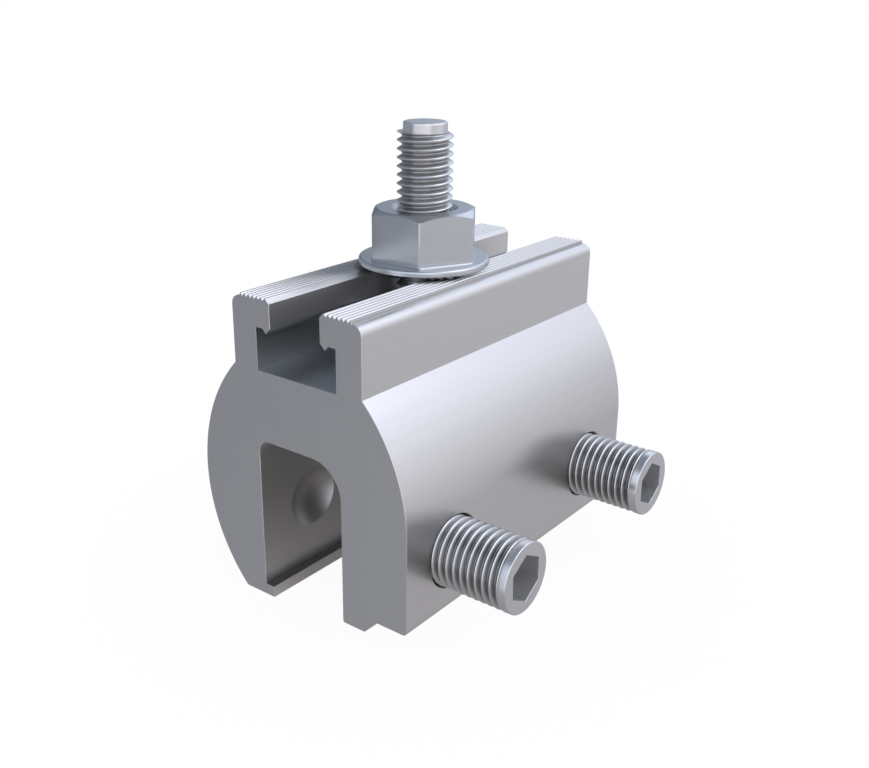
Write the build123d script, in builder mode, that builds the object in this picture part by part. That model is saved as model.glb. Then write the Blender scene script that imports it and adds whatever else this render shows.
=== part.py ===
"""Standing seam clamp: an extruded body that grips a roof seam and carries a bolt.

Frame: X across the seam, with the set screws on the +X side, Y along the seam,
Z up. The origin is the middle of the flat ceiling of the seam slot, halfway along
the body. All sizes are in millimetres.
"""

import os
from math import sqrt, tan, radians

from build123d import *

# Seam slot, the open gap that drops over the folded seam of the roof
slot_width = 14.9
slot_side = slot_width / 2
slot_fixed_fillet = 1.9  # ceiling corner on the fixed jaw's side
slot_screw_fillet = 5.0  # ceiling corner on the set screws' side
slot_foot_depth = 24.5  # from the ceiling down to the fixed jaw's foot
foot_corner = 0.4

# Round sides of the body
side_radius = 24.8
side_reach = 18.6  # widest point of either side, from the slot's middle plane
side_drop = 7.0  # widest point, below the slot's ceiling
body_length = 55.8

# Hook at the fixed jaw's foot, which catches under the fold of the seam
hook_reach = 1.55
hook_height = 1.7

# Foot of the leg that carries the set screws
toe_depth = 23.2  # from the slot's ceiling to the toe
toe_width = 3.85
toe_rise = 2.25  # step from the toe up to the leg's underside, at 45 degrees
leg_corner = 0.7

# Stud bolt with a hexagon head
stud_radius = 4.0
stud_length = 25.4  # under the head
pilot_radius = 3.23
pilot_length = 1.4
pilot_chamfer = 0.25
head_flats = 13.0  # across the flats
head_height = 5.3
bolt_y = -0.9  # where the bolt stands along the channel

# Channel for the bolt's head, between two rails
web_height = 10.3  # from the slot's ceiling to the channel's floor
head_side_gap = 0.55  # each side of the head
head_floor_gap = 0.05
stud_side_gap = 0.42  # each side of the stud, between the rails' lips
rail_half_width = 11.4  # outer faces of the rails
rail_height = 4.9  # from the ridges that the head bears on to the serrated top
rail_chamfer = 0.65
rail_shoulder_drop = 0.45  # plain outer strip, below the serrations
rail_shoulder_width = 1.7
rail_fillet = 0.8
lip_gap = 0.65  # from the underside of the lips down to the tips of the ridges
ridge_slope_width = 0.85
ridge_heel_width = 0.55
channel_fillet = 0.3
serration_count = 6
serration_pitch = 0.75
serration_crest = 0.08
serration_depth = 0.32
serration_land = 0.12  # flat between the shoulder and the first groove

# Flange nut
nut_flats = 14.25
nut_height = 8.55
nut_bore_gap = 0.05  # radial, around the stud
nut_countersink = 0.75
nut_top_circle = 7.0  # radius of the flat ring inside the corner chamfer
nut_corner_angle = 30.0
nut_turn = 3.4  # how far a corner has turned from the X axis, in degrees
nut_foot_fillet = 0.35  # between the flats and the flange
flange_radius = 9.5
flange_height = 1.45  # from the nut's seat to the top of the flange
flange_lift = 0.6  # from the nut's seat up to the underside of the rim
flange_seat_radius = 8.4
flange_rim_fillet = 0.4

# Set screws with hexagon sockets
screw_radius = 5.0
screw_length = 20.0
screw_end_distance = 10.25  # axis, from the nearer cut end of the body
screw_depth = 12.6  # axis, below the slot's ceiling
screw_standout = 11.5  # socket end, outside the leg's face
screw_bore_gap = 0.05  # radial, around the screw
screw_rim = 0.3
bore_mouth_rim = 0.35
socket_flats = 6.03
socket_depth = 5.0
socket_drill_angle = 118.0
socket_turn = 2.0  # how far a corner has turned from straight up, in degrees
point_chamfer = 1.2
point_dome = 0.9

# Hollows in the fixed jaw, opposite the points of the set screws
hollow_radius = 4.5
hollow_depth = 2.2

# Heights and places that follow from the sizes above
side_centre_x = side_radius - side_reach
hook_tip_x = -slot_side + hook_reach
toe_x = slot_side + toe_width
leg_z = -toe_depth + toe_rise
channel_side = head_flats / 2 + head_side_gap
mouth_side = stud_radius + stud_side_gap
head_z = web_height + head_floor_gap
bearing_z = head_z + head_height
rail_top = bearing_z + rail_height
screw_row = body_length / 2 - screw_end_distance
screw_rows = (-screw_row, screw_row)
screw_tip_x = side_reach + screw_standout - screw_length
above = 1.0  # how far a cut runs on past the face that it opens


def side_height(x):
    """Height of the round side above its widest point, at a distance x from the middle."""
    return sqrt(side_radius**2 - (x + side_centre_x) ** 2)


def side_width(z):
    """Distance of the round side from the middle plane, at a height z."""
    return sqrt(side_radius**2 - (z + side_drop) ** 2) - side_centre_x


# Extruded body, with its section drawn across the seam
kink_z = side_height(rail_half_width) - side_drop
fixed_foot_x = -side_width(-slot_foot_depth)

with BuildPart() as clamp_body:
    with BuildSketch(Plane.XZ) as section:
        with BuildLine():
            ThreePointArc(
                (-rail_half_width, kink_z),
                (-side_reach, -side_drop),
                (fixed_foot_x, -slot_foot_depth),
            )
            Polyline(
                (fixed_foot_x, -slot_foot_depth),
                (hook_tip_x, -slot_foot_depth),
                (hook_tip_x, -slot_foot_depth + hook_height),
                (-slot_side, -slot_foot_depth + hook_height),
                (-slot_side, 0),
                (slot_side, 0),
                (slot_side, -toe_depth),
                (toe_x, -toe_depth),
                (toe_x + toe_rise, leg_z),
                (side_reach, leg_z),
                (side_reach, -side_drop),
            )
            RadiusArc((side_reach, -side_drop), (rail_half_width, kink_z), -side_radius)
            Line((rail_half_width, kink_z), (-rail_half_width, kink_z))
        make_face()
        corners = section.vertices()
        fillet(corners.sort_by_distance((-slot_side, 0))[0], slot_fixed_fillet)
        corners = section.vertices()
        fillet(corners.sort_by_distance((slot_side, 0))[0], slot_screw_fillet)
        corners = section.vertices()
        fillet(corners.sort_by_distance((side_reach, leg_z))[0], leg_corner)
        for toe_end in (slot_side, toe_x):
            corners = section.vertices()
            fillet(corners.sort_by_distance((toe_end, -toe_depth))[0], foot_corner)
    extrude(amount=body_length / 2, both=True)

    # Two rails side by side, with the channel between them
    with BuildSketch(Plane.XZ) as rails:
        shoulder_z = rail_top - rail_shoulder_drop
        with Locations((0, kink_z - above)):
            Rectangle(
                2 * rail_half_width,
                shoulder_z - kink_z + above,
                align=(Align.CENTER, Align.MIN),
            )
        fillet(rails.vertices().group_by(Axis.Y)[-1], rail_fillet)
        serrated_side = rail_half_width - rail_shoulder_width
        with Locations((0, shoulder_z - above)):
            Rectangle(
                2 * serrated_side,
                rail_shoulder_drop + above,
                align=(Align.CENTER, Align.MIN),
            )
        # V grooves along the tops of the rails
        groove_half = (serration_pitch - serration_crest) / 2
        for k in range(serration_count):
            groove_x = serrated_side - serration_land - groove_half - k * serration_pitch
            for side in (-1, 1):
                with Locations((side * groove_x, rail_top)):
                    Polygon(
                        (-groove_half, 0),
                        (0, -serration_depth),
                        (groove_half, 0),
                        align=None,
                        mode=Mode.SUBTRACT,
                    )
    extrude(amount=body_length / 2, both=True)

    # Channel that holds the bolt's head under two ridged lips
    with BuildSketch(Plane.XZ) as channel:
        with BuildLine():
            Polyline(
                (0, rail_top + above),
                (mouth_side + rail_chamfer, rail_top + above),
                (mouth_side + rail_chamfer, rail_top),
                (mouth_side, rail_top - rail_chamfer),
                (mouth_side, bearing_z + ridge_slope_width),
                (mouth_side + ridge_slope_width, bearing_z),
                (mouth_side + ridge_slope_width + ridge_heel_width, bearing_z + lip_gap),
                (channel_side, bearing_z + lip_gap),
                (channel_side, web_height),
                (0, web_height),
            )
            mirror(about=Plane.YZ)
        make_face()
        for side in (-1, 1):
            corners = channel.vertices()
            fillet(corners.sort_by_distance((side * channel_side, web_height))[0], channel_fillet)
    extrude(amount=body_length / 2 + above, both=True, mode=Mode.SUBTRACT)

    # Threaded bores for the set screws, and the hollows that face them
    leg_thickness = side_reach - slot_side
    hollow_sphere = (hollow_radius**2 + hollow_depth**2) / (2 * hollow_depth)
    for y in screw_rows:
        with Locations(Plane((side_reach, y, -screw_depth), z_dir=(1, 0, 0))):
            CounterSinkHole(
                screw_radius + screw_bore_gap,
                screw_radius + screw_bore_gap + bore_mouth_rim,
                leg_thickness + above,
                counter_sink_angle=90,
            )
        with Locations((-slot_side + hollow_sphere - hollow_depth, y, -screw_depth)):
            Sphere(hollow_sphere, mode=Mode.SUBTRACT)

# Stud bolt: the head's flats face the channel's walls, so that it can't turn
with BuildPart() as channel_bolt:
    with BuildSketch(Plane.XY.offset(head_z)):
        with Locations((0, bolt_y)):
            RegularPolygon(head_flats / 2, 6, major_radius=False, rotation=30)
    extrude(amount=head_height)
    # The corners of the head's outer face are turned off at 30 degrees
    with BuildSketch(Plane.XZ.offset(-bolt_y)):
        head_corner = head_flats / 2 / sqrt(0.75)
        head_ring = 0.95 * head_flats / 2
        with BuildLine():
            Polyline(
                (0, head_z),
                (head_ring, head_z),
                (head_corner + above, head_z + (head_corner + above - head_ring) * tan(radians(30))),
                (head_corner + above, bearing_z),
                (0, bearing_z),
                close=True,
            )
        make_face()
    revolve(axis=Axis((0, bolt_y, 0), (0, 0, 1)), mode=Mode.INTERSECT)
    # Stud with a plain pilot at its end
    with BuildSketch(Plane.XZ.offset(-bolt_y)):
        stud_top = bearing_z + stud_length
        thread_top = stud_top - pilot_length
        with BuildLine():
            Polyline(
                (0, bearing_z - above),
                (stud_radius, bearing_z - above),
                (stud_radius, thread_top - (stud_radius - pilot_radius)),
                (pilot_radius, thread_top),
                (pilot_radius, stud_top - pilot_chamfer),
                (pilot_radius - pilot_chamfer, stud_top),
                (0, stud_top),
                close=True,
            )
        make_face()
    revolve(axis=Axis((0, bolt_y, 0), (0, 0, 1)))

# Flange nut, seated on the serrated tops of the rails
with BuildPart() as flange_nut:
    nut_top = rail_top + nut_height
    nut_bore = stud_radius + nut_bore_gap
    nut_corner = nut_flats / 2 / sqrt(0.75)
    corner_drop = (nut_corner + above - nut_top_circle) * tan(radians(nut_corner_angle))
    with BuildSketch(Plane.XY.offset(rail_top)):
        with Locations((0, bolt_y)):
            RegularPolygon(nut_flats / 2, 6, major_radius=False, rotation=nut_turn)
    extrude(amount=nut_height)
    with BuildSketch(Plane.XZ.offset(-bolt_y)):
        with BuildLine():
            Polyline(
                (0, rail_top),
                (nut_corner + above, rail_top),
                (nut_corner + above, nut_top - corner_drop),
                (nut_top_circle, nut_top),
                (0, nut_top),
                close=True,
            )
        make_face()
    revolve(axis=Axis((0, bolt_y, 0), (0, 0, 1)), mode=Mode.INTERSECT)
    # Flange around the foot of the hexagon, its rim raised off the seat
    with BuildSketch(Plane.XZ.offset(-bolt_y)) as flange_half:
        flange_top = rail_top + flange_height
        with BuildLine():
            Polyline(
                (nut_bore, rail_top),
                (flange_seat_radius, rail_top),
                (flange_radius, rail_top + flange_lift),
                (flange_radius, flange_top),
                (nut_bore, flange_top),
                close=True,
            )
        make_face()
        corners = flange_half.vertices()
        fillet(corners.sort_by_distance((flange_radius, flange_top))[0], flange_rim_fillet)
    revolve(axis=Axis((0, bolt_y, 0), (0, 0, 1)))
    foot_edges = flange_nut.edges().filter_by(GeomType.LINE)
    fillet(foot_edges.filter_by_position(Axis.Z, flange_top, flange_top), nut_foot_fillet)
    # Bore, opened out at both ends
    with BuildSketch(Plane.XZ.offset(-bolt_y)):
        mouth_radius = nut_bore + nut_countersink
        with BuildLine():
            Polyline(
                (0, rail_top - above),
                (mouth_radius, rail_top - above),
                (mouth_radius, rail_top),
                (nut_bore, rail_top + nut_countersink),
                (nut_bore, nut_top - nut_countersink),
                (mouth_radius, nut_top),
                (mouth_radius, nut_top + above),
                (0, nut_top + above),
                close=True,
            )
        make_face()
    revolve(axis=Axis((0, bolt_y, 0), (0, 0, 1)), mode=Mode.SUBTRACT)


def set_screw(y):
    """One set screw along X, with its domed point inwards and its socket outwards."""
    socket_x = screw_tip_x + screw_length
    axis_z = -screw_depth
    with BuildPart() as screw:
        # Half outline, turned about the screw's own axis
        with BuildSketch(Plane.XZ.offset(-y)):
            with BuildLine():
                point_x = screw_tip_x + point_dome
                point_radius = screw_radius - point_chamfer
                dome_sphere = (point_radius**2 + point_dome**2) / (2 * point_dome)
                RadiusArc((screw_tip_x, axis_z), (point_x, axis_z + point_radius), dome_sphere)
                Polyline(
                    (point_x, axis_z + point_radius),
                    (point_x + point_chamfer, axis_z + screw_radius),
                    (socket_x - screw_rim, axis_z + screw_radius),
                    (socket_x, axis_z + screw_radius - screw_rim),
                    (socket_x, axis_z),
                    (screw_tip_x, axis_z),
                )
            make_face()
        revolve(axis=Axis((0, y, axis_z), (1, 0, 0)))
        # Hexagon socket with a corner near the top, ending in a drilled cone
        with BuildSketch(Plane.YZ.offset(socket_x)):
            with Locations((y, axis_z)):
                RegularPolygon(socket_flats / 2, 6, major_radius=False, rotation=90 + socket_turn)
        extrude(amount=-socket_depth, mode=Mode.SUBTRACT)
        drill_depth = socket_flats / 2 / tan(radians(socket_drill_angle / 2))
        with BuildSketch(Plane.XZ.offset(-y)):
            with BuildLine():
                Polyline(
                    (socket_x - socket_depth + above, axis_z),
                    (socket_x - socket_depth + above, axis_z + socket_flats / 2),
                    (socket_x - socket_depth, axis_z + socket_flats / 2),
                    (socket_x - socket_depth - drill_depth, axis_z),
                    close=True,
                )
            make_face()
        revolve(axis=Axis((0, y, axis_z), (1, 0, 0)), mode=Mode.SUBTRACT)
    return screw


set_screw_front = set_screw(screw_rows[0])
set_screw_rear = set_screw(screw_rows[1])

clamp_body.part.label = "clamp_body"
channel_bolt.part.label = "channel_bolt"
flange_nut.part.label = "flange_nut"
set_screw_front.part.label = "set_screw_front"
set_screw_rear.part.label = "set_screw_rear"

os.makedirs("parts", exist_ok=True)
export_step(clamp_body.part, "parts/clamp_body.step")
export_step(channel_bolt.part, "parts/channel_bolt.step")
export_step(flange_nut.part, "parts/flange_nut.step")
export_step(set_screw_front.part, "parts/set_screw_front.step")
export_step(set_screw_rear.part, "parts/set_screw_rear.step")
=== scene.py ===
"""Standing seam clamp: the finished surfaces of the body, the stud bolt, the nut and the set screws.

The frame's origin is the middle of the seam slot's ceiling, halfway along the body. X runs across
the seam towards the sockets of the set screws, Y along the seam and Z up the stud.
"""

import functools
import math

import bpy
import numpy as np
from bpy.props import FloatProperty, FloatVectorProperty, IntProperty, PointerProperty
from mathutils import Matrix, Vector


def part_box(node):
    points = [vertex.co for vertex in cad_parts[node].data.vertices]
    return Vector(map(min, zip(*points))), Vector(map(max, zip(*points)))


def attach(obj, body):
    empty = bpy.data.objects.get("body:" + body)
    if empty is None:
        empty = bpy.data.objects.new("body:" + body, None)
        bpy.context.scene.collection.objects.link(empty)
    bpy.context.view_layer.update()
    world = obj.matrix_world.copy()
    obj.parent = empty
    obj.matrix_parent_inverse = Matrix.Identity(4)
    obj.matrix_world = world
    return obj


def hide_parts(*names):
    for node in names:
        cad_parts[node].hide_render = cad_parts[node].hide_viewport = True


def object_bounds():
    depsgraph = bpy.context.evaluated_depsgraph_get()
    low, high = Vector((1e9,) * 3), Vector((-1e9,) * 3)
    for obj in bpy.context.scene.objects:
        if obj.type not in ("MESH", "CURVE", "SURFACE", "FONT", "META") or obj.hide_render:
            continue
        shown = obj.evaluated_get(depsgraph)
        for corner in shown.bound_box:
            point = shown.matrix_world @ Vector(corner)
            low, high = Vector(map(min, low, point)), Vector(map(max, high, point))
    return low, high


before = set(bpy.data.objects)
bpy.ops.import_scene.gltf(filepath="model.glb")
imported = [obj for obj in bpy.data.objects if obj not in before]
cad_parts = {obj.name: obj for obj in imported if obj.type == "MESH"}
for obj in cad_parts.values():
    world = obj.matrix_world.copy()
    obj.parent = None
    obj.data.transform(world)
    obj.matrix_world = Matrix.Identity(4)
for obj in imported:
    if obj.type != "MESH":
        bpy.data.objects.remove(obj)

bl_info = {
    "name": "Standing Seam Clamp",
    "version": (1, 0, 0),
    "blender": (4, 5, 0),
    "location": "View3D > Sidebar > Seam Clamp",
    "description": "Builds the finished surfaces of a standing seam clamp on its CAD frame",
    "category": "Add Mesh",
}

MM = 0.001
CAD_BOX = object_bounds()
BODY_LOW, BODY_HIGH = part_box("clamp_body")
BOLT_LOW, BOLT_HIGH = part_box("channel_bolt")
NUT_LOW, NUT_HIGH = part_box("flange_nut")
SCREW_NODES = ("set_screw_front", "set_screw_rear")
SCREW_BODIES = ("front_screw", "rear_screw")
SCREW_BOXES = [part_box(node) for node in SCREW_NODES]

# Places read from the frame. The stud stands on its middle plane
STUD_X = 0.0
STUD_Y = (BOLT_LOW.y + BOLT_HIGH.y) / 2
RAIL_TOP = NUT_LOW.z
SCREW_ROWS = [(low.y + high.y) / 2 for low, high in SCREW_BOXES]
SCREW_LOW, SCREW_HIGH = SCREW_BOXES[0]
SCREW_Z = (SCREW_LOW.z + SCREW_HIGH.z) / 2
SCREW_TIP, SCREW_END = SCREW_LOW.x, SCREW_HIGH.x

# Profile of the threads: places along one pitch from the crest, the depth there as a share of the
# full depth, and the full depth as a share of the pitch
THREAD_PLACES = np.array((0.0, 0.05, 0.09, 0.2, 0.33, 0.42, 0.5, 0.58, 0.67, 0.8, 0.91, 0.95))
THREAD_SHAPE = np.array((0.0, 0.03, 0.11, 0.42, 0.82, 0.97, 1.0, 0.97, 0.82, 0.42, 0.11, 0.03))
THREAD_DEPTH = 0.6134

# Gap between two faces that bear on each other and slide
BEARING_GAP = 0.01 * MM

# Points closer than this count as one
SAME_POINT = 0.0001 * MM

# Fall over reach of the cones that turn off the corners of the bolt's head and of the nut, and
# reach over fall of a drill's point
HEAD_CONE = math.tan(math.radians(30))
NUT_CONE = math.tan(math.radians(27))
DRILL_CONE = math.tan(math.radians(59))

# Steepness of the edges of coloured places, per metre: full after 0.02 or 0.05 mm
SHARP = 1 / (0.02 * MM)
SOFT = 1 / (0.05 * MM)

# How far the drilled places reach from a screw's axis, and the inner walls from the middle plane
DRILLED_REACH = 5.4 * MM
INNER_REACH = 7.5 * MM

# Share of the painted shade at the foot of the step beside the serrations, on the hook's top and in
# the drilled places, and the painted shade's colour
FOOT_PAINTED_SHADE, HOOK_PAINTED_SHADE, DRILLED_PAINTED_SHADE = 0.35, 0.6, 0.2
PAINTED_SHADE_COLOUR = (0.1, 0.1, 0.11)

# Steel: the colour of the painted shade in threads and sockets, the painted shade's share and the
# roughness in a socket, and the height of the grain
STEEL_PAINTED_SHADE = (0.02, 0.02, 0.02)
SOCKET_PAINTED_SHADE, SOCKET_ROUGHNESS = 0.15, 0.5
GRAIN_HEIGHT = 0.0004 * MM

# Levels of the studio: everywhere, added on the bright side, overhead, and added by the softbox
DIM, BRIGHT_SIDE, OVERHEAD, SOFTBOX = 0.46, 1.48, 0.32, 0.75


def length(name, millimetres, description):
    """A size in the settings, given in millimetres and held in metres."""
    look = {"min": 0.0, "precision": 5, "unit": "LENGTH", "subtype": "DISTANCE"}
    return FloatProperty(name=name, description=description, default=millimetres * MM, **look)


def rotation(name, degrees, description):
    """An angle in the settings, given in degrees and held in radians."""
    look = {"subtype": "ANGLE", "unit": "ROTATION"}
    return FloatProperty(name=name, description=description, default=math.radians(degrees), **look)


def colour(name, value, description):
    """A linear colour in the settings."""
    return FloatVectorProperty(
        name=name, description=description, default=value, size=3, min=0.0, max=1.0, subtype="COLOR"
    )


def share(name, value, description):
    """A number from 0 to 1 in the settings."""
    return FloatProperty(
        name=name, description=description, default=value, min=0.0, max=1.0, subtype="FACTOR"
    )


class BodySizes(bpy.types.PropertyGroup):
    """Sizes of the extruded body's section, its bores and its edges."""

    slot_width: length("Slot width", 14.9, "Open width of the seam slot")
    jaw_fillet: length("Jaw fillet", 1.9, "Ceiling corner of the slot on the fixed jaw's side")
    leg_fillet: length("Leg fillet", 5.0, "Ceiling corner of the slot on the set screws' side")
    side_radius: length("Side radius", 24.8, "Radius of the round sides")
    side_drop: length("Side drop", 7.0, "Widest point of the sides, below the slot's ceiling")
    hook_reach: length("Hook reach", 1.55, "How far the jaw's hook stands into the slot")
    hook_height: length("Hook height", 1.7, "Height of the jaw's hook")
    toe_depth: length("Toe depth", 23.2, "Toe of the leg, below the slot's ceiling")
    toe_width: length("Toe width", 3.85, "Flat width of the toe")
    toe_rise: length("Toe rise", 2.25, "Step from the toe up to the underside of the leg")
    toe_corner: length("Toe corner", 0.4, "Rounded corners of the toe")
    leg_corner: length("Leg corner", 0.7, "Rounded outer corner of the leg")
    web_height: length("Web height", 10.3, "From the slot's ceiling to the channel's floor")
    channel_width: length("Channel width", 14.1, "Inner width of the channel")
    channel_fillet: length("Channel fillet", 0.03, "Corners of the channel's floor")
    mouth_width: length("Mouth width", 8.84, "Width between the lips of the rails")
    bearing_height: length("Bearing height", 15.65, "Tips of the ridges that the bolt's head bears on")
    ridge_slope: length("Ridge slope", 0.85, "Width of the ridge's inner slope")
    ridge_heel: length("Ridge heel", 0.55, "Width of the ridge's outer slope")
    lip_gap: length("Lip gap", 0.65, "Height of the ridges")
    rail_half: length("Rail half width", 11.4, "From the middle to the outer face of a rail")
    rail_chamfer: length("Rail chamfer", 0.65, "Inner top edge of a rail")
    rail_fillet: length("Rail fillet", 1.3, "Outer top edge of a rail")
    shoulder_drop: length("Shoulder drop", 0.45, "Plain strip beside the serrations")
    shoulder_width: length("Shoulder width", 1.7, "Width of the plain strip")
    shoulder_slope: length("Shoulder slope", 0.06, "Width of the slope down to the plain strip")
    serration_pitch: length("Serration pitch", 0.75, "From one groove to the next")
    serration_land: length("Serration land", 0.12, "Flat between the shoulder and the first groove")
    serration_crest: length("Serration crest", 0.2, "Flat between two grooves")
    serration_depth: length("Serration depth", 0.32, "Depth of a groove")
    serration_count: IntProperty(name="Serrations", description="Grooves on each rail", default=6)
    bore_radius: length("Bore radius", 5.2, "Bores for the set screws")
    bore_mouth: length("Bore mouth", 0.15, "Countersink at the mouth of a bore")
    hollow_radius: length("Hollow radius", 4.5, "Hollows in the fixed jaw")
    hollow_depth: length("Hollow depth", 2.2, "Depth of a hollow")
    patch_half: length("Patch half side", 5.55, "Half side of the square that a round opening is set in")
    edge_break: length("Edge break", 0.06, "Sawn edges at the two ends")


class HardwareSizes(bpy.types.PropertyGroup):
    """Sizes of the bolt, the nut and the set screws."""

    stud_radius: length("Stud radius", 4.0, "Outer radius of the stud's thread")
    stud_pitch: length("Stud pitch", 1.21, "Pitch of the stud's thread")
    stud_phase: share("Stud phase", 0.815, "Turns that the stud's thread is shifted by")
    pilot_radius: length("Pilot radius", 3.13, "Plain end of the stud")
    pilot_length: length("Pilot length", 1.4, "Plain end of the stud")
    head_flats: length("Head flats", 13.0, "Bolt's head across its flats")
    head_height: length("Head height", 5.3, "Height of the bolt's head")
    nut_flats: length("Nut flats", 14.25, "Nut across its flats")
    nut_circle: length("Nut circle", 6.85, "Flat ring on the nut's top")
    nut_bore: length("Nut bore", 4.2, "Radius of the nut's bore")
    nut_countersink: length("Nut countersink", 0.6, "Width of the opened ends of the nut's bore")
    countersink_depth: length("Countersink depth", 1.3, "Depth of the opened ends of the nut's bore")
    foot_fillet: length("Foot fillet", 0.15, "Between the nut's flats and its flange")
    flange_height: length("Flange height", 1.45, "Top of the flange above the nut's seat")
    flange_lift: length("Flange lift", 0.6, "Underside of the rim above the nut's seat")
    flange_seat: length("Flange seat", 8.4, "Radius of the nut's flat seat")
    flange_fillet: length("Flange fillet", 0.35, "Rounded upper edge of the rim")
    screw_radius: length("Screw radius", 5.0, "Outer radius of the set screws' thread")
    screw_pitch: length("Screw pitch", 1.14, "Pitch of the set screws' thread")
    screw_phase: share("Screw phase", 0.22, "Turns that the set screws' threads are shifted by")
    screw_collar: length("Screw collar", 1.1, "Plain end of a set screw")
    screw_rim: length("Screw rim", 0.15, "Rounded edge at the socket")
    socket_flats: length("Socket flats", 6.03, "Hexagon socket across its flats")
    socket_depth: length("Socket depth", 5.0, "Depth of the socket's flat walls")
    point_chamfer: length("Point chamfer", 1.2, "Chamfer at a set screw's point")
    point_dome: length("Point dome", 0.9, "Height of the domed point")
    nut_turn: rotation("Nut turn", 3.4, "Angle of a corner of the nut from the X axis")
    socket_turn: rotation("Socket turn", 2.0, "Angle of a corner of the sockets from straight up")


class Finishes(bpy.types.PropertyGroup):
    """Colours and roughness of the metals, and their painted shades."""

    extruded: colour("Extruded aluminium", (0.655, 0.635, 0.62), "Body, along its length")
    extruded_roughness: share("Extruded roughness", 0.31, "Body, along its length")
    sawn: colour("Sawn aluminium", (0.585, 0.573, 0.552), "Cut ends of the body")
    sawn_roughness: share("Sawn roughness", 0.38, "Cut ends of the body")
    stud: colour("Stud steel", (0.685, 0.68, 0.675), "Stud bolt")
    nut: colour("Nut steel", (0.56, 0.58, 0.60), "Flange nut")
    screw: colour("Screw steel", (0.70, 0.70, 0.70), "Set screws")
    inner_roughness: share("Inner roughness", 0.45, "Walls of the channel and the slot")
    # Painted shade at the roots of the stud's thread
    stud_root_painted_shade: share("Stud root", 0.5, "How much darker the stud is at the roots of its thread")
    # Painted shade in the channel under the lips: the walls' colour, and the floor's, which is bluish
    channel_painted_shade: colour("Channel walls", (0.428, 0.431, 0.423), "Inside the channel, under the lips")
    channel_floor_painted_shade: colour("Channel floor", (0.368, 0.397, 0.428), "Floor of the channel")
    # Painted shade at the roots of the set screws' threads
    screw_root_painted_shade: share("Screw root", 0.78, "How much darker the set screws are at their roots")


def sizes():
    return bpy.context.scene.clamp_body_sizes, bpy.context.scene.clamp_hardware_sizes


def finishes():
    return bpy.context.scene.clamp_finishes


# Surfaces

class Surface:
    """Points and faces gathered from grids and rings, each added as whole arrays."""

    def __init__(self):
        self.points = []
        self.count = 0
        self.faces = []
        self.finishes = []

    def add(self, points):
        """Adds an array of points and gives back their numbers in the same layout."""
        flat = np.asarray(points, float).reshape(-1, 3)
        numbers = self.count + np.arange(len(flat))
        self.points.append(flat)
        self.count += len(flat)
        return numbers.reshape(np.shape(points)[:-1])

    def fill(self, corners, finish=0):
        """Adds faces from an array whose last axis holds the point numbers of a face."""
        rows = corners.reshape(-1, corners.shape[-1])
        self.faces += rows.tolist()
        self.finishes += [finish] * len(rows)

    def band(self, first, second):
        """Closes the band between two rings of equal length, from the first to the second."""
        corners = (first, np.roll(first, -1), np.roll(second, -1), second)
        self.fill(np.stack(corners, axis=-1))

    def rings(self, numbers):
        """Closes the bands between rings that follow each other."""
        for first, second in zip(numbers[:-1], numbers[1:]):
            self.band(first, second)

    def lathe(self, heights, radii, turn, place, least=1.0 * MM):
        """Adds rings about an axis, each height and radius one number or one value for each angle,
        and closes the bands between them. Gives back the rings."""
        rows = [
            place(np.broadcast_to(height, len(turn)), np.broadcast_to(radius, len(turn)), turn)
            for height, radius in zip(heights, radii)
        ]
        numbers = self.add(held(np.stack(rows), least=least))
        self.rings(numbers)
        return numbers

    def pole(self, ring, point, closes_first=False):
        """Closes a ring with a fan about one point, before the first ring or after the last."""
        centre = self.add([point])[0]
        after = np.roll(ring, -1)
        pair = (after, ring) if closes_first else (ring, after)
        self.fill(np.stack((*pair, np.full(len(ring), centre)), axis=-1))

    def thread(self, start, end, pitch, crest, nose, phase, turn, place):
        """A right-hand thread between two heights, whose rows of points follow the helix: a row
        rises by one pitch in a turn, and its last point meets the row one pitch on. Heights past
        an end are held there, and the points that fall together become one. The radius is the
        crest less the depth of the profile, within a 45 degree cone that opens from the nose's
        radius at the start. Gives back the first and the last ring."""
        share_of_turn = turn / (2 * math.pi)
        whole = np.arange(math.floor(start / pitch + phase) - 1, math.ceil(end / pitch + phase) + 2)
        steps = (whole[:, None] + THREAD_PLACES).reshape(-1, 1) - phase
        free = pitch * (steps + share_of_turn)
        height = np.clip(free, start, end)
        at = (height / pitch - share_of_turn + phase) % 1.0
        depth = THREAD_DEPTH * pitch * np.interp(at, THREAD_PLACES, THREAD_SHAPE, period=1.0)
        radius = np.minimum(crest - depth, nose + height - start)
        index = np.arange(len(free))[:, None]
        own = np.clip(index, (free <= start).sum(axis=0) - 1, (free < end).sum(axis=0))
        kept = own == index
        numbers = np.zeros(free.shape, int)
        numbers[kept] = self.add(place(height, radius, turn)[kept])
        numbers = np.take_along_axis(numbers, own, axis=0)
        one_pitch_on = np.minimum(index[:, 0] + len(THREAD_PLACES), len(free) - 1)
        beside = np.column_stack((numbers[:, 1:], numbers[one_pitch_on, 0]))
        corners = np.stack((numbers[:-1], beside[:-1], beside[1:], numbers[1:]), axis=-1)
        corners = corners.reshape(-1, 4)
        repeated = corners == np.roll(corners, -1, axis=1)
        times = repeated.sum(axis=1)
        self.fill(corners[times == 0])
        self.fill(corners[times == 1][~repeated[times == 1]].reshape(-1, 3))
        return numbers[0], numbers[-1]

    def build(self, name, materials, crease=30.0):
        """Makes the object, smooth apart from edges that turn by more than the crease, in degrees."""
        mesh = bpy.data.meshes.new(name)
        mesh.from_pydata(np.concatenate(self.points).tolist(), [], self.faces)
        for material in materials:
            mesh.materials.append(material)
        mesh.polygons.foreach_set("material_index", self.finishes)
        mesh.polygons.foreach_set("use_smooth", [True] * len(mesh.polygons))
        mesh.update()
        mesh.set_sharp_from_angle(angle=math.radians(crease))
        piece = bpy.data.objects.new(name, mesh)
        bpy.context.scene.collection.objects.link(piece)
        return piece


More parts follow.
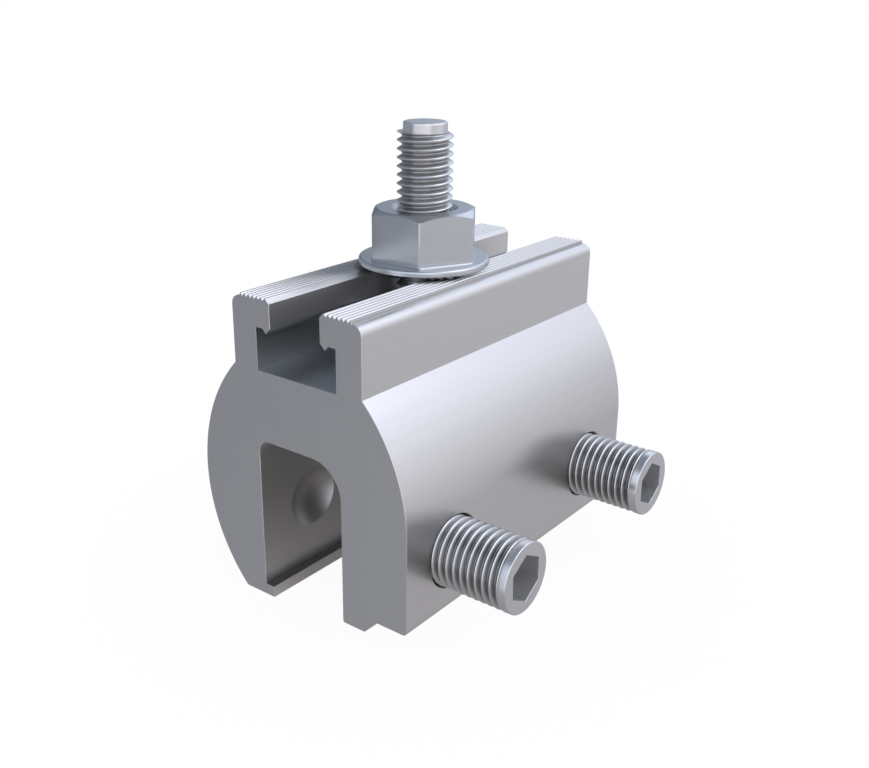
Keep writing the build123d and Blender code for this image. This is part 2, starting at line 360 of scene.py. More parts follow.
def arc(centre, radius, start, end, steps):
    """Points of an arc: the centre plus the radius times (cos t, sin t), t in degrees."""
    t = np.radians(np.linspace(start, end, steps + 1))
    return np.column_stack((centre[0] + radius * np.cos(t), centre[1] + radius * np.sin(t)))


def turns(count):
    """Angles in even steps, once round."""
    return 2 * math.pi * np.arange(count) / count


def chain(*runs):
    """Runs of points joined end to end, each shared end kept once."""
    points = np.vstack(runs)
    step = np.linalg.norm(points - np.roll(points, 1, axis=0), axis=1)
    return points[step > SAME_POINT]


def inset(points, depth):
    """A closed outline moved inwards: each corner goes along the mean of its two edges' normals, by
    the depth over the cosine of half the turn, and at most by twice the depth."""
    edge = np.roll(points, -1, axis=0) - points
    edge /= np.linalg.norm(edge, axis=1)[:, None]
    normal = np.column_stack((edge[:, 1], -edge[:, 0]))
    mean = normal + np.roll(normal, 1, axis=0)
    size = np.linalg.norm(mean, axis=1)[:, None]
    return points - depth * mean / size * np.minimum(2 / size, 2.0)


def held(rows, closed=False, gap=0.05 * MM, least=1.0 * MM):
    """Rows of points, with one more row close to both ends of each wide band between two rows. The
    smooth shading of a rounded edge then stays beside it and the flats stay flat."""
    after = np.roll(rows, -1, axis=0)
    step = after - rows
    size = np.linalg.norm(step, axis=-1, keepdims=True)
    unit = step / np.maximum(size, SAME_POINT)
    wide = size.reshape(len(rows), -1).min(axis=1) > least
    wide[-1] &= closed
    spread = np.stack((rows, rows + unit * gap, after - unit * gap), axis=1)
    return spread[np.column_stack((np.ones(len(rows), bool), wide, wide))]


def wall(x, low, high, s, cells):
    """Points up a flat wall: its ends, and even steps across the square patch around an opening."""
    steps = np.linspace(SCREW_Z - s.patch_half, SCREW_Z + s.patch_half, cells + 1)
    heights = np.concatenate(([low], steps, [high]))
    return np.column_stack((np.full_like(heights, x), heights))


def rail_outline(s):
    """Right-hand rail, from the kink at the round side up, over the serrations, and down to the
    corner of the channel's floor: straight runs and two arcs, with V grooves at an even pitch."""
    shoulder = RAIL_TOP - s.shoulder_drop
    half = s.rail_half
    step_x = half - s.shoulder_width
    crest_x = step_x - s.serration_land + s.serration_crest
    mouth = s.mouth_width / 2
    channel = s.channel_width / 2
    groove = (s.serration_pitch - s.serration_crest) / 2
    centres = step_x - s.serration_land - groove - np.arange(s.serration_count) * s.serration_pitch
    root = RAIL_TOP - s.serration_depth
    teeth = [
        corner
        for x in centres
        for corner in ((x + groove, RAIL_TOP), (x, root), (x - groove, RAIL_TOP))
    ]
    lip = s.bearing_height + s.lip_gap
    ridge_x = mouth + s.ridge_slope
    corner = s.channel_fillet
    return chain(
        arc((half - s.rail_fillet, shoulder - s.rail_fillet), s.rail_fillet, 0, 90, 8),
        [(crest_x + s.shoulder_slope, shoulder), (crest_x, RAIL_TOP)],
        teeth,
        [
            (mouth + s.rail_chamfer, RAIL_TOP),
            (mouth, RAIL_TOP - s.rail_chamfer),
            (mouth, s.bearing_height + s.ridge_slope),
            (ridge_x, s.bearing_height),
            (ridge_x + s.ridge_heel, lip),
            (channel, lip),
        ],
        arc((channel - corner, s.web_height + corner), corner, 0, -90, 5),
    )


def body_section(s, cells):
    """Closed outline of the extrusion, anticlockwise as seen from the front, as (x, z) points.
    The round sides are arcs about centres on the far side of the middle plane."""
    side = BODY_HIGH.x
    offset = s.side_radius - side
    slot = s.slot_width / 2
    foot = BODY_LOW.z
    leg_z = -s.toe_depth + s.toe_rise
    rail = rail_outline(s)
    other_rail = rail[::-1] * (-1, 1)
    kink_turn = math.degrees(math.acos((s.rail_half + offset) / s.side_radius))
    foot_turn = math.degrees(math.asin((-foot - s.side_drop) / s.side_radius))
    toe = slot + s.toe_width
    corner = s.toe_corner
    tan_half = math.tan(math.radians(22.5))
    outline = chain(
        wall(side, leg_z + s.leg_corner, -s.side_drop, s, cells),
        arc((-offset, -s.side_drop), s.side_radius, 0, kink_turn, 60),
        rail,
        other_rail,
        arc((offset, -s.side_drop), s.side_radius, 180 - kink_turn, 180 + foot_turn, 100),
        [(-slot + s.hook_reach, foot), (-slot + s.hook_reach, foot + s.hook_height)],
        wall(-slot, foot + s.hook_height, -s.jaw_fillet, s, cells),
        arc((-slot + s.jaw_fillet, -s.jaw_fillet), s.jaw_fillet, 180, 90, 16),
        arc((slot - s.leg_fillet, -s.leg_fillet), s.leg_fillet, 90, 0, 28),
        wall(slot, -s.toe_depth + corner, -s.leg_fillet, s, cells)[::-1],
        arc((slot + corner, -s.toe_depth + corner), corner, 180, 270, 6),
        arc((toe - corner * tan_half, -s.toe_depth + corner), corner, 270, 315, 4),
        [(toe + s.toe_rise, leg_z)],
        arc((side - s.leg_corner, leg_z + s.leg_corner), s.leg_corner, 270, 360, 8),
    )
    return held(outline, closed=True, gap=0.12 * MM)


def square_ring(numbers, along, across):
    """Numbers round the edge of a square patch, anticlockwise from the corner at the largest Y and
    lowest Z. along holds the patch's profile rows in rising Z, across its columns in rising Y."""
    sides = (
        numbers[along[:-1], across[-1]],
        numbers[along[-1], across[:0:-1]],
        numbers[along[:0:-1], across[0]],
        numbers[along[0], across[:-1]],
    )
    return np.concatenate(sides)


def circle_ring(surface, x, y, radius, count):
    """A ring about a set screw's axis, at a distance x: the radius times (cos t, sin t) along Y and
    Z, from the lower right corner on."""
    t = turns(count) - math.pi / 4
    points = (np.full(count, x), y + radius * np.cos(t), SCREW_Z + radius * np.sin(t))
    return surface.add(np.column_stack(points))


def build_body(s, materials):
    """The extrusion: its section swept along Y, with the two threaded bores and the two hollows let
    into square patches of the flat walls, and a broken edge all round both ends."""
    cells = 18
    section = body_section(s, cells)
    rows = [np.linspace(y - s.patch_half, y + s.patch_half, cells + 1) for y in SCREW_ROWS]
    low, high = BODY_LOW.y, BODY_HIGH.y
    stations = np.concatenate(([low, low + s.edge_break], *rows, [high - s.edge_break, high]))
    firsts = [int(np.argmin(np.abs(stations - row[0]))) for row in rows]
    outlines = np.repeat(section[:, None, :], len(stations), axis=1)
    outlines[:, 0] = outlines[:, -1] = inset(section, s.edge_break)
    grid = np.empty((*outlines.shape[:2], 3))
    grid[..., ::2] = outlines
    grid[..., 1] = stations
    surface = Surface()
    numbers = surface.add(grid)

    # Every cell of the sweep, apart from the square patches around the openings
    keep = np.ones((len(section), len(stations) - 1), bool)
    side, slot = BODY_HIGH.x, s.slot_width / 2
    near = 0.001 * MM
    in_patch = np.abs(section[:, 1] - SCREW_Z) < s.patch_half + near
    patches = {}
    for x in (side, slot, -slot):
        found = np.flatnonzero(in_patch & (np.abs(section[:, 0] - x) < near))
        patches[x] = found[np.argsort(section[found, 1])]
        for first in firsts:
            keep[np.ix_(np.sort(found)[:-1], range(first, first + cells))] = False
    after = np.roll(numbers, -1, axis=0)
    corners = np.stack((numbers[:, :-1], numbers[:, 1:], after[:, 1:], after[:, :-1]), axis=-1)
    surface.fill(corners[keep])
    surface.fill(numbers[None, :, 0], finish=1)
    surface.fill(numbers[None, ::-1, -1], finish=1)

    # Openings
    count = 4 * cells
    mouth = s.bore_radius + s.bore_mouth
    inner_break = 0.3 * s.bore_mouth
    sphere = (s.hollow_radius**2 + s.hollow_depth**2) / (2 * s.hollow_depth)
    rim_angle = math.asin(s.hollow_radius / sphere)
    for y, first in zip(SCREW_ROWS, firsts):
        across = np.arange(first, first + cells + 1)
        bore = (
            square_ring(numbers, patches[side], across),
            circle_ring(surface, side, y, mouth, count),
            circle_ring(surface, side - s.bore_mouth, y, s.bore_radius, count),
            circle_ring(surface, slot + inner_break, y, s.bore_radius, count),
            circle_ring(surface, slot, y, s.bore_radius + inner_break, count),
            square_ring(numbers, patches[slot], across),
        )
        surface.rings(bore)
        cap = [square_ring(numbers, patches[-slot], across)]
        centre_x = -slot + sphere - s.hollow_depth
        for angle in rim_angle * np.linspace(1, 0.06, 14):
            x = centre_x - sphere * math.cos(angle)
            cap.append(circle_ring(surface, x, y, sphere * math.sin(angle), count))
        surface.rings(cap)
        surface.pole(cap[-1], (-slot - s.hollow_depth, y, SCREW_Z))
    return surface.build("extruded_body", materials)


def hexagon_radius(turn, flats, rounding):
    """Radius of a hexagon with rounded corners at an angle from the middle of a flat: on the flat
    it is half the flats over the cosine, and past the flat's end it meets the corner's circle."""
    sixth = math.pi / 3
    angle = np.abs((turn + sixth / 2) % sixth - sixth / 2)
    half = flats / 2
    inner = half - rounding
    flat_end = math.atan(inner * math.tan(sixth / 2) / half)
    centre = inner / math.cos(sixth / 2)
    away = sixth / 2 - angle
    under = np.clip(rounding**2 - (centre * np.sin(away)) ** 2, 0, None)
    return np.where(angle <= flat_end, half / np.cos(angle), centre * np.cos(away) + np.sqrt(under))


def about_z(height, radius, turn):
    """Points about the stud's axis: the radius times (cos, sin) of the turn, along X and Y."""
    x = STUD_X + radius * np.cos(turn)
    y = STUD_Y + radius * np.sin(turn)
    return np.stack((x, y, np.broadcast_to(height, radius.shape)), axis=-1)


def about_x(height, radius, turn, row):
    """Points about a set screw's axis: the radius times (cos, sin) of the turn, along Y and Z."""
    y = row + radius * np.cos(turn)
    z = SCREW_Z + radius * np.sin(turn)
    return np.stack((np.broadcast_to(height, radius.shape), y, z), axis=-1)


def build_bolt(s, materials):
    """The bolt: a chamfered hexagon head, the stud's thread and the plain pilot, as rings about the
    stud's axis. The head's chamfer is a cone, and each flat ends where the cone meets it."""
    turn = turns(120)
    bottom, top = BOLT_LOW.z, BOLT_HIGH.z
    bearing = bottom + s.head_height - BEARING_GAP
    hexagon = hexagon_radius(turn, s.head_flats, rounding=0.2 * MM)
    ring = 0.95 * s.head_flats / 2
    cone = bottom + (hexagon - ring) * HEAD_CONE
    edge, head_edge = 0.25 * MM, 0.1 * MM
    crest, pilot = s.stud_radius, s.pilot_radius
    neck = crest + 0.3 * MM
    thread_start, thread_end = bearing + 0.2 * MM, top - s.pilot_length
    surface = Surface()
    head = surface.lathe(
        (bottom, bottom, cone, bearing - head_edge, bearing, bearing),
        (0.5 * ring, ring, hexagon, hexagon, hexagon - head_edge, neck),
        turn,
        about_z,
    )
    first, last = surface.thread(
        thread_start, thread_end, s.stud_pitch, crest, crest, s.stud_phase, turn, about_z
    )
    end = surface.lathe(
        (thread_end, top - edge, top - 0.3 * edge, top, top),
        (pilot, pilot, pilot - 0.3 * edge, pilot - edge, 0.4 * pilot),
        turn,
        about_z,
    )
    surface.band(head[-1], first)
    surface.band(last, end[0])
    surface.pole(head[0], (STUD_X, STUD_Y, bottom), closes_first=True)
    surface.pole(end[-1], (STUD_X, STUD_Y, top))
    return surface.build("threaded_stud_bolt", materials, crease=40)


def build_nut(s, materials):
    """The flange nut, as rings about the stud's axis: a seat, a cone up to the raised rim, the rim's
    round, the flat top of the flange, a quarter circle up to each flat, and a second cone that turns
    off the top corners."""
    turn = turns(180)
    bottom, top = NUT_LOW.z + BEARING_GAP, NUT_HIGH.z
    flange = (NUT_HIGH.x - NUT_LOW.x) / 2
    flange_top = bottom + s.flange_height
    hexagon = hexagon_radius(turn - s.nut_turn - math.pi / 6, s.nut_flats, rounding=0.3 * MM)
    shoulder = top - (hexagon - s.nut_circle) * NUT_CONE
    mouth = s.nut_bore + s.nut_countersink
    quarter = np.radians(np.linspace(0, 90, 7))
    ease, rim_ease = 0.05 * MM, 0.08 * MM
    foot = [hexagon * (1 + 2 * s.foot_fillet * (1 - math.sin(a)) / s.nut_flats) for a in quarter]
    surface = Surface()
    rows = surface.lathe(
        (
            bottom + s.countersink_depth,
            bottom,
            bottom,
            bottom + ease,
            bottom + s.flange_lift - ease,
            bottom + s.flange_lift + ease,
            *(flange_top - s.flange_fillet * (1 - np.sin(quarter))),
            *(flange_top + s.foot_fillet * (1 - np.cos(quarter))),
            shoulder,
            top,
            top,
            top - s.countersink_depth,
        ),
        (
            s.nut_bore,
            mouth,
            s.flange_seat - ease,
            s.flange_seat + ease,
            flange - rim_ease,
            flange,
            *(flange - s.flange_fillet * (1 - np.cos(quarter))),
            *foot,
            hexagon,
            s.nut_circle,
            mouth,
            s.nut_bore,
        ),
        turn,
        about_z,
        least=0.4 * MM,
    )
    surface.band(rows[-1], rows[0])
    return surface.build("flange_nut_finished", materials, crease=18)


def build_screw(s, index, materials):
    """A set screw, as rings about its axis: a point that is a cap of a sphere, the thread, a plain
    rounded end and a hexagon socket that ends in a drilled cone."""
    turn = turns(120)
    tip, end, row = SCREW_TIP, SCREW_END, SCREW_ROWS[index]
    place = functools.partial(about_x, row=row)
    point_radius = s.screw_radius - s.point_chamfer
    sphere = (point_radius**2 + s.point_dome**2) / (2 * s.point_dome)
    dome = math.asin(point_radius / sphere) * np.linspace(0.15, 1, 6)
    socket = hexagon_radius(turn - s.socket_turn, s.socket_flats, rounding=0.08 * MM)
    floor = end - s.socket_depth
    half_flats = s.socket_flats / 2
    drill = half_flats / DRILL_CONE
    rounding = np.radians(np.linspace(0, 90, 6))
    edge, thread_gap = 0.04 * MM, 0.05 * MM
    surface = Surface()
    point = surface.lathe(tip + sphere * (1 - np.cos(dome)), sphere * np.sin(dome), turn, place)
    first, last = surface.thread(
        tip + s.point_dome + thread_gap,
        end - s.screw_collar,
        s.screw_pitch,
        s.screw_radius,
        point_radius,
        s.screw_phase,
        turn,
        place,
    )
    plain = surface.lathe(
        (
            end - s.screw_collar,
            *(end - s.screw_rim * (1 - np.sin(rounding))),
            end,
            end - edge,
            floor,
            floor,
            floor - 0.7 * drill,
        ),
        (
            s.screw_radius,
            *(s.screw_radius - s.screw_rim * (1 - np.cos(rounding))),
            socket + edge,
            socket,
            socket,
            0.97 * half_flats,
            0.3 * half_flats,
        ),
        turn,
        place,
    )
    surface.band(point[-1], first)
    surface.band(last, plain[0])
    surface.pole(point[0], (tip, row, SCREW_Z), closes_first=True)
    surface.pole(plain[-1], (floor - drill, row, SCREW_Z))
    return surface.build(f"socket_screw_{('front', 'rear')[index]}", materials, crease=40)


# Materials

class Signal:
    """A number socket that takes part in Python expressions, each of which adds a Math node."""

    def __init__(self, nodes, socket):
        self.nodes = nodes
        self.socket = socket

    def maths(self, operation, first, second=None):
        inputs = {0: first} if second is None else {0: first, 1: second}
        node = self.nodes.add("ShaderNodeMath", {"operation": operation}, inputs)
        return Signal(self.nodes, node.outputs[0])

    def __add__(self, other):
        return self.maths("ADD", self, other)

    __radd__ = __add__

    def __sub__(self, other):
        return self.maths("SUBTRACT", self, other)

    def __rsub__(self, other):
        return self.maths("SUBTRACT", other, self)

    def __mul__(self, other):
        return self.maths("MULTIPLY", self, other)

    __rmul__ = __mul__

    def __pow__(self, other):
        return self.maths("POWER", self, other)

    def __abs__(self):
        return self.maths("ABSOLUTE", self)

    def clamped(self):
        """The signal kept between 0 and 1."""
        return self.maths("MINIMUM", self.maths("MAXIMUM", self, 0.0), 1.0)

    def above(self, limit, steepness=SHARP):
        """0 up to the limit, then rising to 1, by the steepness for each unit."""
        return ((self - limit) * steepness).clamped()

    def below(self, limit, steepness=SHARP):
        """1 at first, then falling to 0 at the limit, by the steepness for each unit."""
        return ((limit - self) * steepness).clamped()


class NodeBoard:
    """Adds nodes to a material or a world, each from its type, its settings and its inputs."""

    def __init__(self, owner):
        owner.use_nodes = True
        self.tree = owner.node_tree
        self.tree.nodes.clear()

    def add(self, kind, settings=None, inputs=None):
        node = self.tree.nodes.new(kind)
        for key, value in (settings or {}).items():
            setattr(node, key, value)
        for key, value in (inputs or {}).items():
            value = value.socket if isinstance(value, Signal) else value
            if isinstance(value, bpy.types.NodeSocket):
                self.tree.links.new(value, node.inputs[key])
            else:
                node.inputs[key].default_value = value
        node.location = (len(self.tree.nodes) * 60, -40 * (len(self.tree.nodes) % 7))
        return node

    def number(self, node, output):
        return Signal(self, node.outputs[output])

    def axes(self):
        """The three object coordinates as signals, in metres."""
        coordinates = self.add("ShaderNodeTexCoord").outputs["Object"]
        parts = self.add("ShaderNodeSeparateXYZ", {}, {0: coordinates})
        return [self.number(parts, axis) for axis in "XYZ"]

    def noise(self, scale, detail):
        """Noise from 0 to 1 on the object, with its grain scaled along each axis, per metre."""
        coordinates = self.add("ShaderNodeTexCoord").outputs["Object"]
        scaled = self.add("ShaderNodeMapping", {}, {"Vector": coordinates, "Scale": scale})
        inputs = {"Vector": scaled.outputs["Vector"], "Scale": 1.0, "Detail": detail}
        return self.number(self.add("ShaderNodeTexNoise", {}, inputs), 0)

    def blend(self, factor, first, second):
        """A colour between two, by a factor."""
        inputs = {"Factor": factor}
        for number, value in ((6, first), (7, second)):
            inputs[number] = value if isinstance(value, bpy.types.NodeSocket) else (*value, 1.0)
        return self.add("ShaderNodeMix", {"data_type": "RGBA"}, inputs).outputs[2]

    def shades(self, factor, tone, darkest, lightest):
        """A tone times a number that goes from the darkest to the lightest, by a factor."""
        ends = [[min(1.0, part * times) for part in tone] for times in (darkest, lightest)]
        return self.blend(factor, *ends)

    def bump(self, height, distance, strength):
        """A normal from a height signal, whose full swing is the distance, in metres."""
        inputs = {"Height": height, "Distance": distance, "Strength": strength}
        return self.add("ShaderNodeBump", {}, inputs).outputs["Normal"]

    def metal(self, base, roughness, normal):
        """The finished metal."""
        inputs = {"Base Color": base, "Metallic": 1.0, "Roughness": roughness, "Normal": normal}
        shader = self.add("ShaderNodeBsdfPrincipled", {}, inputs)
        self.add("ShaderNodeOutputMaterial", {}, {"Surface": shader.outputs[0]})


def extruded_aluminium(finish):
    """Mill finish: fine faint lines along the extrusion, with soft clouding. The inner walls, of the
    channel and of the slot, are rougher, and so are the drilled bores and hollows, which have no
    lines. Under the lips the channel has darker colours, which are painted shade, bluish on its
    floor. Painted shade also darkens the foot of the step beside the serrations, the hook's top and
    the drilled places."""
    material = bpy.data.materials.new("extruded_aluminium")
    board = NodeBoard(material)
    lines = board.noise((2800, 14, 2800), detail=2.0)
    clouds = board.noise((60, 30, 60), detail=2.0)
    s = sizes()[0]
    x, y, z = board.axes()
    across = abs(x)
    slot = s.slot_width / 2

    # Where each place is, with limits that stand a little off the faces
    drilled = off_screw_axes(y, z).below(DRILLED_REACH) * x.below(BODY_HIGH.x - 0.3 * MM)
    drilled = drilled * across.above(slot + 0.01 * MM)
    drilled = drilled * x.above(-slot - s.hollow_depth - 0.2 * MM)
    inner = across.below(INNER_REACH) * z.below(RAIL_TOP - 0.4 * MM)
    inner = (inner + drilled).clamped()
    # Where the channel's painted shade goes, under the lips
    under_lips = z.below(s.bearing_height + s.ridge_slope, 1 / (0.5 * MM))
    channel_painted_shade = inner * under_lips * z.above(s.web_height - 0.1 * MM)
    on_floor = z.below(s.web_height + 0.1 * MM)
    # Places of painted shade: the foot of the step beside the serrations and the top of the hook
    step_x = s.rail_half - s.shoulder_width - s.serration_land + s.serration_crest
    foot = across.above(step_x + 0.01 * MM) * across.below(step_x + 0.1 * MM, SOFT)
    foot = foot * z.below(RAIL_TOP - 0.05 * MM) * z.above(RAIL_TOP - s.shoulder_drop - 0.1 * MM)
    ledge = abs(z - (BODY_LOW.z + s.hook_height)).below(0.05 * MM, SOFT)
    ledge = ledge * x.below(s.hook_reach - slot - 0.05 * MM) * inner

    # Colour, roughness and bump
    lines = (lines - 0.5) * (1.0 - drilled) + 0.5
    base = board.shades(lines, finish.extruded, 0.955, 1.045)
    # Painted shade in the channel under the lips, bluish on its floor
    base = board.blend(channel_painted_shade, base, board.blend(on_floor, finish.channel_painted_shade, finish.channel_floor_painted_shade))
    # Painted shade at the foot of the step beside the serrations, on the hook's top and in the drilled
    # places
    shade = (foot * FOOT_PAINTED_SHADE + ledge * HOOK_PAINTED_SHADE + drilled * DRILLED_PAINTED_SHADE).clamped()
    base = board.blend(shade, base, PAINTED_SHADE_COLOUR)
    roughness = inner * (finish.inner_roughness - finish.extruded_roughness) + finish.extruded_roughness
    roughness = roughness + (lines - 0.5) * 0.05 + (clouds - 0.5) * 0.05
    board.metal(base, roughness, board.bump(lines, 0.0002 * MM, 0.5))
    return material


def sawn_aluminium(finish):
    """Cut ends: an even matt surface with faint cutting marks."""
    material = bpy.data.materials.new("sawn_aluminium")
    board = NodeBoard(material)
    grain = board.noise((2200, 2200, 2200), detail=3.0)
    marks = board.noise((2400, 2400, 120), detail=2.0)
    base = board.shades(grain * 0.5 + marks * 0.5, finish.sawn, 0.93, 1.06)
    roughness = (marks - 0.5) * 0.12 + finish.sawn_roughness
    board.metal(base, roughness, board.bump(grain * 0.6 + marks * 0.4, 0.01 * MM, 0.4))
    return material


def plated_steel(name, tone, roughness, grain_scale, root=None, inside=None):
    """Plated or bright steel: an even satin with a fine grain and soft clouding. root gives a signal
    for painted shade that darkens the base towards the roots of a thread, and inside one for a
    plainer, rougher place that painted shade makes slightly darker."""
    material = bpy.data.materials.new(name)
    board = NodeBoard(material)
    grain = board.noise((grain_scale,) * 3, detail=3.0)
    clouds = board.noise((220, 220, 220), detail=2.0)
    mix = (grain * 0.5 + clouds * 0.5).clamped()
    if inside:
        smooth = inside(board)
        mix = mix * (1.0 - smooth) + smooth * 0.5
        grain = grain * (1.0 - smooth) + smooth * 0.5
        roughness = smooth * (SOCKET_ROUGHNESS - roughness) + roughness
    base = board.shades(mix, tone, 0.94, 1.06)
    # Painted shade inside a socket
    if inside:
        base = board.blend(smooth * SOCKET_PAINTED_SHADE, base, STEEL_PAINTED_SHADE)
    # Painted shade towards the roots of a thread
    if root:
        base = board.blend(root(board), base, STEEL_PAINTED_SHADE)
    board.metal(base, (clouds - 0.5) * 0.08 + roughness, board.bump(grain, GRAIN_HEIGHT, 0.4))
    return material


def stud_root_painted_shade(board):
    """Painted shade that grows from the crests of the stud's thread to its roots, by the distance from
    the stud's axis, and stays away from the pilot."""
    s = sizes()[1]
    x, y, z = board.axes()
    away = (x * x + (y - STUD_Y) * (y - STUD_Y)) ** 0.5
    rooted = away.below(s.stud_radius, 1 / (THREAD_DEPTH * s.stud_pitch))
    return rooted * z.below(BOLT_HIGH.z - s.pilot_length) * finishes().stud_root_painted_shade


def off_screw_axes(y, z):
    """Distance from the axis of the nearer set screw. The two lie equally far from the middle."""
    middle = (SCREW_ROWS[1] - SCREW_ROWS[0]) / 2
    across = abs(y - (SCREW_ROWS[0] + SCREW_ROWS[1]) / 2) - middle
    return (across * across + (z - SCREW_Z) * (z - SCREW_Z)) ** 0.5


def screw_root_painted_shade(board):
    """Painted shade that grows from the crests of the set screws' threads to their roots, and stays
    away from the plain ends and the sockets."""
    s = sizes()[1]
    x, y, z = board.axes()
    away = off_screw_axes(y, z)
    rooted = away.below(s.screw_radius, 1 / (THREAD_DEPTH * s.screw_pitch))
    outside = away.above(s.socket_flats / 2 + 0.6 * MM, 1 / (0.1 * MM))
    return rooted * x.below(SCREW_END - s.screw_collar) * outside * finishes().screw_root_painted_shade


def socket_inside(board):
    """One inside the set screws' sockets and nought elsewhere."""
    s = sizes()[1]
    x, y, z = board.axes()
    return off_screw_axes(y, z).below(0.6 * s.socket_flats) * x.below(SCREW_END - 0.05 * MM)


# Operators

class CLAMP_OT_stage(bpy.types.Operator):
    """Floor, white background, soft lamp and the camera"""

    bl_idname = "clamp.stage"
    bl_label = "Stage"

    def execute(self, context):
        build_floor()
        build_world(context.scene)
        build_lamp()
        build_camera(context.scene)
        return {"FINISHED"}


class CLAMP_OT_body(bpy.types.Operator):
    """Extruded body with its bores, hollows and serrations"""

    bl_idname = "clamp.body"
    bl_label = "Extruded body"

    def execute(self, context):
        finish = finishes()
        piece = build_body(sizes()[0], (extruded_aluminium(finish), sawn_aluminium(finish)))
        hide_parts("clamp_body")
        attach(piece, "body")
        return {"FINISHED"}


class CLAMP_OT_bolt(bpy.types.Operator):
    """Stud bolt with its thread and hexagon head"""

    bl_idname = "clamp.bolt"
    bl_label = "Stud bolt"

    def execute(self, context):
        steel = plated_steel("stud_steel", finishes().stud, 0.3, 3000, stud_root_painted_shade)
        piece = build_bolt(sizes()[1], (steel,))
        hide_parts("channel_bolt")
        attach(piece, "bolt")
        return {"FINISHED"}


class CLAMP_OT_nut(bpy.types.Operator):
    """Flange nut on the stud"""

    bl_idname = "clamp.nut"
    bl_label = "Flange nut"

    def execute(self, context):
        steel = plated_steel("nut_steel", finishes().nut, 0.25, 1800)
        piece = build_nut(sizes()[1], (steel,))
        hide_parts("flange_nut")
        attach(piece, "nut")
        return {"FINISHED"}


class CLAMP_OT_set_screws(bpy.types.Operator):
    """The two set screws with their threads and sockets"""

    bl_idname = "clamp.set_screws"
    bl_label = "Set screws"

    def execute(self, context):
        steel = plated_steel("screw_steel", finishes().screw, 0.3, 2400, screw_root_painted_shade, socket_inside)
        for index, (node, body) in enumerate(zip(SCREW_NODES, SCREW_BODIES)):
            piece = build_screw(sizes()[1], index, (steel,))
            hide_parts(node)
            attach(piece, body)
        return {"FINISHED"}


class CLAMP_PT_panel(bpy.types.Panel):
    """Lists the pieces of the clamp"""

    bl_label = "Seam Clamp"
    bl_idname = "CLAMP_PT_panel"
    bl_space_type = "VIEW_3D"
    bl_region_type = "UI"
    bl_category = "Seam Clamp"

    def draw(self, context):
        for operator in OPERATORS:
            self.layout.operator(operator.bl_idname)


# Stage

def build_floor():
    """A wide pale floor under the feet. The camera sees it white, with the object's faint shadow,
    which fades out away from the object. The metal sees only the part under the object."""
    reach = 3.0
    height = CAD_BOX[0].z
    corners = [(x * reach, y * reach, height) for x, y in ((-1, -1), (1, -1), (1, 1), (-1, 1))]
    mesh = bpy.data.meshes.new("floor")
    mesh.from_pydata(corners, [], [(0, 1, 2, 3)])
    material = bpy.data.materials.new("floor_white")
    board = NodeBoard(material)
    rays = board.add("ShaderNodeLightPath")
    seen = board.number(rays, "Is Camera Ray")
    reflected = board.number(rays, "Is Glossy Ray")
    pale = board.add("ShaderNodeBsdfDiffuse", {}, {"Color": (0.8, 0.8, 0.8, 1.0)})
    shade = board.add("ShaderNodeBsdfDiffuse", {}, {"Color": (0.8, 0.74, 0.66, 1.0)})
    white = board.add("ShaderNodeEmission", {}, {"Color": (1.0, 1.0, 1.0, 1.0), "Strength": 1.0})
    open_air = board.add("ShaderNodeBsdfTransparent")

    def mixed(factor, first, second):
        inputs = {0: factor, 1: first.outputs[0], 2: second.outputs[0]}
        return board.add("ShaderNodeMixShader", {}, inputs)

    x, y, _ = board.axes()
    away = (x * x + y * y) ** 0.5

    # For the camera: 95% white near the object, and all white from 60 mm on
    whiteness = away.above(20 * MM, 1 / (40 * MM)) * 0.05 + 0.95
    shown = mixed(seen * whiteness, pale, white)

    # For the metal: a warm part under the object, which fades away over 10 mm
    fade = 1 / (10 * MM)
    under = abs(x).below(22 * MM, fade) * abs(y).below(32 * MM, fade) * 0.85
    both = mixed(reflected, shown, mixed(under, open_air, shade))
    board.add("ShaderNodeOutputMaterial", {}, {"Surface": both.outputs[0]})
    mesh.materials.append(material)
    floor = bpy.data.objects.new("floor", mesh)
    bpy.context.scene.collection.objects.link(floor)


